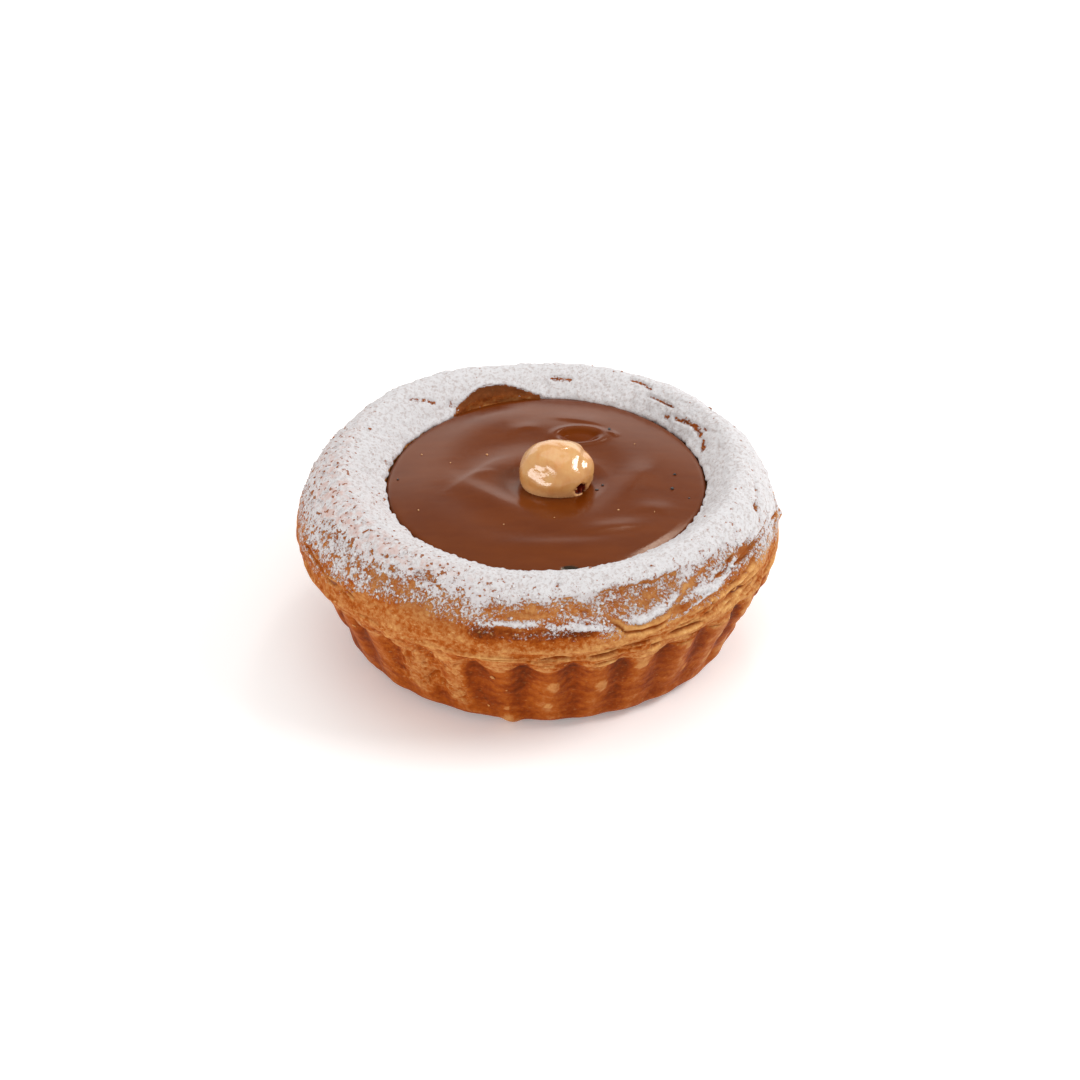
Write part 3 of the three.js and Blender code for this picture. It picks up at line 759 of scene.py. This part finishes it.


# Colours by how brown each point is, changed by mottles, pores and streaks; over them pale flecks, slits,
# the dull veil, which is dust tint and painted shade, and grains of sugar.
def finishCrust(piece):
    f = crustFinish
    tree, shader = newMaterial(piece, "bakedPuffPastry")
    inTin, dust = field(tree, "print"), field(tree, "dust")
    mottle = noise(tree, f.mottleSize, 4, 0.6)
    pores = noise(tree, f.poreSize, 4, 0.65)
    streaks = noise(tree, f.streakSize, 4, 0.65, stretch=(1, 1, 3.5))
    speckled = scaleAdd(tree, inTin, -0.4, 0.75)
    streaky = scaleAdd(tree, field(tree, "layer"), 0.25, 0.02)
    level = field(tree, "bake")
    for pattern, weight in ((mottle, 0.5), (pores, speckled), (streaks, streaky)):
        level = scaleAdd(tree, calc(tree, "SUBTRACT", pattern, 0.5), weight, level)
    colour = ramp(tree, level, [(at, tone(*c)) for at, c in f.stops])
    flecks = span(tree, noise(tree, f.fleckSize, 2, 0.6, stretch=(1, 1, 2)), 0.6, 0.78)
    flecks = calc(tree, "MULTIPLY", flecks, scaleAdd(tree, inTin, -0.35, 0.48))
    colour = mix(tree, flecks, colour, tone(*f.flake))
    colour = mix(tree, span(tree, field(tree, "slit"), 0.15, 0.9), colour, tone(*f.slitColour))
    # veil: tint of the dust, and painted shade between its grains
    veil = scaleAdd(tree, dust, 0.4, field(tree, "veil"), clamp=True)
    colour = mix(tree, veil, colour, tone(*f.veil))
    grains = calc(tree, "MULTIPLY", powder(tree, f.powderSize, dust), span(tree, dust, 0, 0.12))
    colour = mix(tree, grains, colour, tone(*f.dustColour))
    roughness = scaleAdd(tree, inTin, -0.12, scaleAdd(tree, pores, 0.25, 0.5))
    height = scaleAdd(tree, grains, 0.5, scaleAdd(tree, streaks, 0.5, pores))
    height = calc(tree, "MULTIPLY", height, scaleAdd(tree, inTin, -0.6, 1))
    feed(tree, shader, {"Base Color": colour, "Roughness": roughness, "Specular IOR Level": f.mirror,
                        "Normal": bumpFrom(tree, height, f.bumpDepth, 0.7)})


# A closed blanket over the rim: the crust's surface plus the depth of sugar along its normals. It dips
# just under the crust where the rim is bare, and its underside lies inside the crust.
def makeSugar():
    f = sugarForm
    rows = joinRows([
        shoulderStretch(shoulderShares(f.start, f.lowRows, f.midRows, f.topRows)),
        slopeStretch(shares(f.slopeRows)), wallStretch(crustForm.lipHeight - np.array(f.wallRows))])
    angle = turnOf(f.columns)
    xyz, normal, fields = crustSurface(rows, angle)
    amount, marks = sugarAmount(xyz, normal, rows, angle, fields)
    fine = 0.3 * grain(xyz, 0.9, 31) + 0.3 * grain(xyz, 0.5, 32)
    depth = f.thickness * np.clip(1.4 * amount * (1 + fine), -0.6, 1.7)
    first, last = rows.along[0], rows.along[-1]
    ends = ease(rows.along, first, first + 0.5) * (1 - ease(rows.along, last - 0.4, last))
    top = xyz + normal * blend(-f.tuck, depth, ends)[..., None]
    keep = np.linspace(0, len(xyz) - 1, f.underRows).astype(int)[::-1]
    under = xyz[keep] - f.underDepth * normal[keep]
    dust, pit = (np.concatenate([values, values[keep]]) for values in (1 + amount, marks.pit))
    piece = skin("icing_sugar", np.concatenate([top, under]), dict(dust=dust, pit=pit), ring=True)
    return piece


sugarFinish = Form(under=(146, 92, 64), thick=(213, 211, 212), shade=(190, 181, 179), pink=(202, 158, 144),
                   pinkShare=0.65, grainSize=0.6, clumpSize=1.6, roughness=0.95, mirror=0.15, bumpDepth=0.25)


# White with grey grains, pink where pitted sugar lies thin over the crust, and brown between its grains.
def finishSugar(piece):
    f = sugarFinish
    tree, shader = newMaterial(piece, "icingSugar")
    grains = noise(tree, f.grainSize, 3, 0.7)
    clumps = noise(tree, f.clumpSize, 3, 0.6)
    colour = mix(tree, span(tree, grains, 0.48, 0.64), tone(*f.thick), tone(*f.shade))
    thin = calc(tree, "MULTIPLY", span(tree, field(tree, "pit"), 0.3, 1), span(tree, clumps, 0.42, 0.62))
    colour = mix(tree, calc(tree, "MULTIPLY", thin, f.pinkShare), colour, tone(*f.pink))
    white = powder(tree, crustFinish.powderSize, field(tree, "dust"))
    colour = mix(tree, white, tone(*f.under), colour)
    height = scaleAdd(tree, clumps, 0.6, grains)
    feed(tree, shader, {"Base Color": colour, "Roughness": f.roughness, "Specular IOR Level": f.mirror,
                        "Normal": bumpFrom(tree, height, f.bumpDepth, 0.7)})


crust, crustXyz, crustNormal, crustSugar = makeCrust()
finishCrust(crust)
sugar = makeSugar()
finishSugar(sugar)
print("pastry and sugar ready")


# Hazelnut and chocolate cream

nutForm = Form(
    x=3.5, y=-0.4, z=31.9, length=14, width=12.6, height=11.2, columns=160, rows=100, lumps=0.03,
    creaseDepth=0.16, creasePlace=0.74, creaseWidth=0.13,
    chipDepth=0.8, chipAim=(0.6, -0.77, -0.23), chipSpread=0.25,
    # flat spots: where each faces, half width in radians, depth
    facets=[((-0.39, -0.82, 0.43), 0.55, 0.3), ((0.44, -0.52, 0.73), 0.5, 0.25)])

creamForm = Form(
    columns=420, rings=116, level=29.0, gap=0.12, wallSlope=0.18, floorGap=0.3, sideDrops=(3, 1, 0.4),
    sideTaper=0.05, dome=1.0, backRise=0.8, swirlDepth=0.1, swirlPitch=11,
    loop=Form(x=7.8, y=15.1, long=4.8, wide=2.9, ridge=0.16, width=0.2, sink=0.6),
    edgeDrop=0.12, edgeWidth=1.2, gloss=(48, 27), glossSlope=0.17, glossWidth=2.4, glossBend=0.5,
    grooveDrop=0.6, grooveWidth=0.5, grooveSides=(0.45, 0.75), moat=0.5, moatReach=(0.75, 1.4),
    gapSpot=(5.7, -28.4, 2.0, 1.3), gapDrop=0.3)

# Strokes of the spatula: points that each passes, width of its left and of its right side, height.
strokes = [
    ([(-17.5, 9.3), (-13.5, 16.8), (-9.1, 21.4), (-4.6, 22.6), (-0.4, 21.1)], 3.0, 4.5, 0.3),
    ([(-4.8, 12.1), (-3.9, 16.8), (-1.6, 17.9), (1.5, 17.5)], 1.6, 0.8, 0.14),
    ([(-18.6, -6.2), (-13.4, -0.4), (-8, 5.6), (-3, 7.2)], 1.0, 3.4, 0.12),
    ([(-14.3, -1.8), (-10.9, 2.3), (-7.1, 2.0)], 0.7, 1.6, 0.06),
    ([(-19.4, 6.2), (-14.2, -0.3), (-8.6, -5.6), (-3.4, -9.5), (1.5, -12.2)], 1.8, 3.0, 0.21),
    ([(5.1, -17.8), (12.4, -15.8), (21.3, -13.6)], 2.0, 1.2, 0.2),
    ([(15.5, -11), (21, -9.2), (25, -11.6)], 2.2, 1.2, 0.12),
    ([(9.9, -8.9), (16.4, -3.5), (19.1, 2.6), (23.3, 4.2)], 3.0, 1.6, 0.2),
    ([(0.5, 22), (8, 20.3), (13.9, 17.9)], 2.6, 0.9, 0.18),
    ([(-12, -19), (-2, -21), (8, -21), (17, -18)], 2.2, 2.4, 0.16),
    ([(12.5, 17.1), (15.2, 14.4)], 0.7, 0.5, 0.18),
]


# Ridge along a smooth curve through a few points: height times a Gaussian of the distance, wider on one
# side than on the other, and run out at both ends.
def strokeHeight(x, y, points, leftWidth, rightWidth, height):
    knots = np.arange(len(points))
    t = np.linspace(0, knots[-1], 120)
    px, py = (np.polyval(np.polyfit(knots, c, min(knots[-1], 3)), t) for c in np.array(points, float).T)
    gapX, gapY = x[..., None] - px, y[..., None] - py
    nearest = np.argmin(gapX ** 2 + gapY ** 2, -1)
    offX, offY = (np.take_along_axis(gaps, nearest[..., None], -1)[..., 0] for gaps in (gapX, gapY))
    aimX, aimY = np.gradient(px)[nearest], np.gradient(py)[nearest]
    size = np.hypot(aimX, aimY)
    side = (aimX * offY - aimY * offX) / size
    past = (aimX * offX + aimY * offY) / size
    run = nearest / (len(t) - 1)
    ends = ease(run, 0, 0.5) * (1 - ease(run, 0.6, 1)) * ridge(past, 1)
    return height * ends * np.where(side > 0, ridge(side, leftWidth), ridge(side, rightWidth))


# Radius of the cream: a small gap inside the well's slanted wall.
def creamRadius(angle):
    f = creamForm
    return wellRadius(angle) - f.gap - (crustForm.lipHeight - f.level) * f.wallSlope


# The spatula's loop, an ellipse: 0 in its middle, 1 along its ridge.
def loopRing(x, y):
    loop = creamForm.loop
    return np.hypot((x - loop.x) / loop.long, (y - loop.y) / loop.wide)


# Where the cream misses the lip at the front: a bump over an ellipse.
def gapShare(x, y):
    gapX, gapY, wide, deep = creamForm.gapSpot
    return bump(np.hypot((x - gapX) / wide, (y - gapY) / deep), 1)


# Top of the cream: level, plus a low dome, a spiral, a rise at the back, the strokes and the loop's ridge,
# less the loop's sunk inside, the rolled edge, a sloped facet at the right front, grooves along both sides,
# the dip round the nut and the gap at the front.
def creamTop(x, y):
    f, w = creamForm, crustForm
    dx, dy = x - w.wellX, y - w.wellY
    radius = np.hypot(dx, dy)
    angle = np.arctan2(dx, -dy)
    edgeRadius = creamRadius(angle)
    edge = np.clip(radius / edgeRadius, 0, 1)
    spiral = np.sin(2 * np.pi * radius / f.swirlPitch - angle)
    top = f.level + f.dome * (1 - edge ** 2)
    top += f.swirlDepth * spiral * bump(edge, 1) * ease(radius, 0, f.swirlPitch)
    top += f.backRise * ease(edge, 0.25, 0.8) * sector(angle, *w.back)
    for stroke in strokes:
        top = top + strokeHeight(x, y, *stroke)
    loop, ring = f.loop, loopRing(x, y)
    top += loop.ridge * ridge(ring - 1, loop.width) - loop.sink * (1 - ease(ring, 0.5, 0.9))
    gloss = sector(angle, *f.gloss)
    top -= f.edgeDrop * (1 - gloss) * ease(radius, edgeRadius - f.edgeWidth, edgeRadius)
    past = np.maximum(0, radius - edgeRadius + f.glossWidth)
    top -= gloss * f.glossSlope * past * past / (past + f.glossBend)
    sides = ease(np.abs(np.sin(angle)), *f.grooveSides)
    top -= sides * f.grooveDrop * ease(radius, edgeRadius - f.grooveWidth, edgeRadius)
    fromNut = np.hypot((x - nutForm.x) / nutForm.length, (y - nutForm.y) / nutForm.width) * 2
    top -= f.moat * (1 - ease(fromNut, *f.moatReach))
    return top - f.gapDrop * gapShare(x, y)


# The cream from under its middle: a flat base clear of the well's floor, the side, and rings of its top.
def makeCream():
    f, w = creamForm, crustForm
    angle = turnOf(f.columns)
    edge = creamRadius(angle)
    base = np.array([0, w.wellFloorRadius - w.wellCorner, w.wellFloorRadius]) - f.floorGap
    base = np.maximum(base, 0)
    baseHeight = w.wellFloorHeight + f.floorGap + np.array([0, 0, w.wellCorner])
    drop = np.array(f.sideDrops)[:, None]
    r = np.concatenate([base[:, None] + 0 * edge, edge - f.sideTaper * drop,
                        edge * (1 - shares(f.rings)[:, None]), 0 * edge])
    x = w.wellX + r * np.sin(angle)
    y = w.wellY - r * np.cos(angle)
    z = creamTop(x, y)
    z[:3] = baseHeight[:, None]
    z[3:6] -= drop
    xyz = np.stack([x, y, z], -1)
    # the gap field tells the finish where to paint shade in the gap at the front
    fields = dict(streak=0.5 + 0.5 * grain(xyz, (9, 4, 9), 41), gap=ease(gapShare(x, y), 0, 0.25),
                  loop=1 - ease(loopRing(x, y), 0.65, 1))
    piece = skin("cream_filling", xyz, fields)
    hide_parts("chocolate_cream")
    return piece


creamFinish = Form(dark=(96, 39, 4), light=(109, 49, 9), gapColour=(14, 6, 3), sheen=(1, 0.73, 0.47, 1),
                   streakSize=5, fineSize=0.6, roughness=0.13, ior=1.36, mirror=0.5, loopMirror=0.08,
                   bumpDepth=0.15)


# Two browns in streaks, near black in the gap at the front as painted shade, glossy but for the inside of
# the loop.
def finishCream(piece):
    f = creamFinish
    tree, shader = newMaterial(piece, "chocolateCream")
    streaks = noise(tree, f.streakSize, 3, 0.5, stretch=(1, 2.4, 1))
    both = scaleAdd(tree, streaks, 0.6, calc(tree, "MULTIPLY", field(tree, "streak"), 0.4))
    colour = mix(tree, span(tree, both, 0.25, 0.75), tone(*f.dark), tone(*f.light))
    # painted shade: near black where the cream misses the lip at the front
    colour = mix(tree, field(tree, "gap"), colour, tone(*f.gapColour))
    roughness = scaleAdd(tree, noise(tree, f.fineSize, 2, 0.5), 0.1, f.roughness)
    mirror = scaleAdd(tree, field(tree, "loop"), f.loopMirror - f.mirror, f.mirror)
    # the reflections are tinted warm (sheen): painted warm light in the reflections
    feed(tree, shader, {"Base Color": colour, "Roughness": roughness, "IOR": f.ior,
                        "Specular IOR Level": mirror, "Specular Tint": f.sheen,
                        "Normal": bumpFrom(tree, streaks, f.bumpDepth, 0.08)})


cream = makeCream()
finishCream(cream)
print("cream ready")


# Angle between directions and one aim: the arc cosine of their product.
def angleFrom(aim, directions):
    return np.arccos(np.clip(directions @ np.array(aim) / np.linalg.norm(aim), -1, 1))


# The nut: half its length, width and height along each direction from the middle, times low lumps, plus
# shallow dents, less a crease across it, a broken spot and two flat spots.
def makeNut():
    f = nutForm
    polar = np.linspace(np.pi, 0, f.rows)[:, None]
    angle = turnOf(f.columns)
    flat = np.sin(polar)
    aim = np.stack([flat * np.sin(angle), -flat * np.cos(angle), np.cos(polar) + 0 * angle], -1)
    ax, ay, az = np.moveaxis(aim, -1, 0)
    lump = 1 + f.lumps * (np.cos(3 * ax + 1) * np.cos(4 * ay) + ax * az)
    crease = bump(ax + 0.07 * np.sin(4 * az + 2 * ay) - f.creasePlace, f.creaseWidth)
    away = angleFrom(f.chipAim, aim) + 0.18 * grain(aim * 10, 1.3, 51)
    chip = 1 - ease(away, 0.55 * f.chipSpread, f.chipSpread)
    dents = 0.2 * grain(aim * 10, 4, 52) + 0.06 * grain(aim * 10, 1.8, 53)
    out = dents - f.creaseDepth * crease - f.chipDepth * chip
    for facetAim, spread, depth in f.facets:
        out = out - depth * bump(angleFrom(facetAim, aim), spread)
    half = np.array([f.length, f.width, f.height]) / 2
    xyz = half * aim * lump[..., None] + aim * out[..., None] + np.array([f.x, f.y, f.z])
    piece = skin("roasted_hazelnut", xyz, dict(chip=chip))
    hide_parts("hazelnut")
    return piece


nutFinish = Form(pale=(218, 168, 106), tan=(210, 144, 82), chip=(84, 18, 5), chipLight=(150, 48, 12),
                 foot=(246, 188, 130), footHeights=(31.5, 29.5), blotchSize=4, veinSize=2, mirror=0.8,
                 bumpDepth=0.14)


# Pale with tan blotches and veins, painted lighter at the foot as painted light on its shaded underside,
# dark and dull in the broken spot.
def finishNut(piece):
    f = nutFinish
    tree, shader = newMaterial(piece, "roastedHazelnut")
    chip = field(tree, "chip")
    blotches = noise(tree, f.blotchSize, 4, 0.6)
    veins = noise(tree, f.veinSize, 3, 0.6, stretch=(2.5, 1, 0.7))
    both = scaleAdd(tree, veins, 0.35, calc(tree, "MULTIPLY", blotches, 0.65))
    colour = mix(tree, span(tree, both, 0.35, 0.65), tone(*f.pale), tone(*f.tan))
    # painted light: the foot, which lies in shade, is painted lighter
    height = node(tree, "SeparateXYZ", {0: objectCoords(tree)}).outputs["Z"]
    foot = span(tree, height, *(limit * mm for limit in f.footHeights))
    colour = mix(tree, foot, colour, tone(*f.foot))
    crumbly = span(tree, noise(tree, 1, 2), 0.5, 0.65)
    broken = mix(tree, crumbly, tone(*f.chip), tone(*f.chipLight))
    colour = mix(tree, span(tree, chip, 0.25, 0.5), colour, broken)
    roughness = calc(tree, "ADD", scaleAdd(tree, blotches, 0.14, 0.07), chip, clamp=True)
    mirror = scaleAdd(tree, chip, -f.mirror, f.mirror)
    bumps = scaleAdd(tree, blotches, 2.0, noise(tree, 1.2, 3))
    feed(tree, shader, {"Base Color": colour, "Roughness": roughness, "Specular IOR Level": mirror,
                        "Normal": bumpFrom(tree, bumps, f.bumpDepth, 0.3)})


nut = makeNut()
finishNut(nut)
print("hazelnut ready")


# Crumbs

crumbForm = Form(
    # how many, range of sizes, flatness, how far off the crust, seeds of the places and of the shapes
    sugar_crumbs=Form(count=420, sizes=(0.22, 0.6), flatness=0.7, lift=0, seeds=(61, 62)),
    crust_crumbs=Form(count=46, sizes=(0.25, 0.6), flatness=0.6, lift=0.2, seeds=(63, 64)),
    dough_flakes=Form(count=44, sizes=(0.4, 1.2), flatness=0.15, lift=0, seeds=(66, 67)),
    rimHeight=24, rimSlope=0.1, thinSugar=-0.75, thickSugar=0.1, sideFrom=2, sideTo=19, sideRadius=34,
    # on the cream: place and size
    darkSpots=[(25.1, 2, 0.75), (24.5, -2.8, 0.75), (10.7, -3.4, 0.7), (11.8, -2, 0.65), (27.4, -5.6, 0.4),
               (13.4, 17, 0.6), (-25.5, 0.9, 0.5)],
    paleSpots=[(-21.4, 9.3, 0.4), (-9.3, 8.5, 0.45), (-21.4, -9.7, 0.4), (14.5, -10.3, 0.4),
               (21, -10.5, 0.3), (-16, 6, 0.25), (3, -13, 0.25), (-6, -15, 0.3), (18, 12, 0.3)],
    speckFlatness=0.6, speckSeed=65)


# Random spots of the crust's grid, out of those allowed.
def gridSpots(count, allowed, seed):
    draw = np.random.default_rng(seed)
    rows, cols = np.nonzero(allowed)
    chosen = draw.choice(len(rows), count, replace=False)
    return crustXyz[rows[chosen], cols[chosen]], crustNormal[rows[chosen], cols[chosen]], draw


# Sugar crumbs where the sugar is thin, crust crumbs where it is thick, flakes on the side, specks on the
# cream.
def makeCrumbs():
    f = crumbForm
    x, y, z = np.moveaxis(crustXyz, -1, 0)
    onRim = (z > f.rimHeight) & (crustNormal[..., 2] > f.rimSlope)
    onSide = (z > f.sideFrom) & (z < f.sideTo) & (np.hypot(x, y) > f.sideRadius)
    thin = (crustSugar > f.thinSugar) & (crustSugar < f.thickSugar)
    made = []
    for name, slot, allowed in (("sugar_crumbs", "icing_sugar", onRim & thin),
                                ("crust_crumbs", "baked_crust", onRim & (crustSugar > f.thickSugar)),
                                ("dough_flakes", "baked_crust", onSide)):
        lot = f[name]
        spots, normals, draw = gridSpots(lot.count, allowed, lot.seeds[0])
        sizes = draw.uniform(*lot.sizes, len(spots))
        spots = spots + lot.lift * normals
        crumbs = scatter(name, spots, normals, sizes, lot.flatness, lot.seeds[1])
        made.append(crumbs)
    for name, slot, key in (("cocoa_specks", "chocolate_cream", "darkSpots"),
                            ("nut_specks", "roasted_nut", "paleSpots")):
        x, y, sizes = np.array(f[key]).T
        spots = np.stack([x, y, creamTop(x, y)], -1)
        normals = np.tile([0.0, 0, 1], (len(x), 1))
        specks = scatter(name, spots, normals, sizes, f.speckFlatness, f.speckSeed)
        made.append(specks)
    return made


# Light colour, dark colour and roughness.
crumbFinish = dict(
    sugar_crumbs=((224, 222, 222), (204, 199, 198), 0.95), crust_crumbs=((176, 104, 46), (130, 66, 24), 0.7),
    dough_flakes=((208, 146, 78), (176, 106, 46), 0.6), cocoa_specks=((52, 42, 42), (30, 20, 18), 0.35),
    nut_specks=((222, 170, 116), (196, 136, 84), 0.6))


# Two colours in fine grains.
def finishCrumbs(piece):
    light, dark, roughness = crumbFinish[piece.name]
    tree, shader = newMaterial(piece, piece.name)
    grains = noise(tree, 0.4, 3, 0.7)
    colour = mix(tree, span(tree, grains, 0.35, 0.65), tone(*light), tone(*dark))
    feed(tree, shader, {"Base Color": colour, "Roughness": roughness,
                        "Normal": bumpFrom(tree, grains, 0.15, 0.6)})


for piece in makeCrumbs():
    finishCrumbs(piece)
print("crumbs ready")
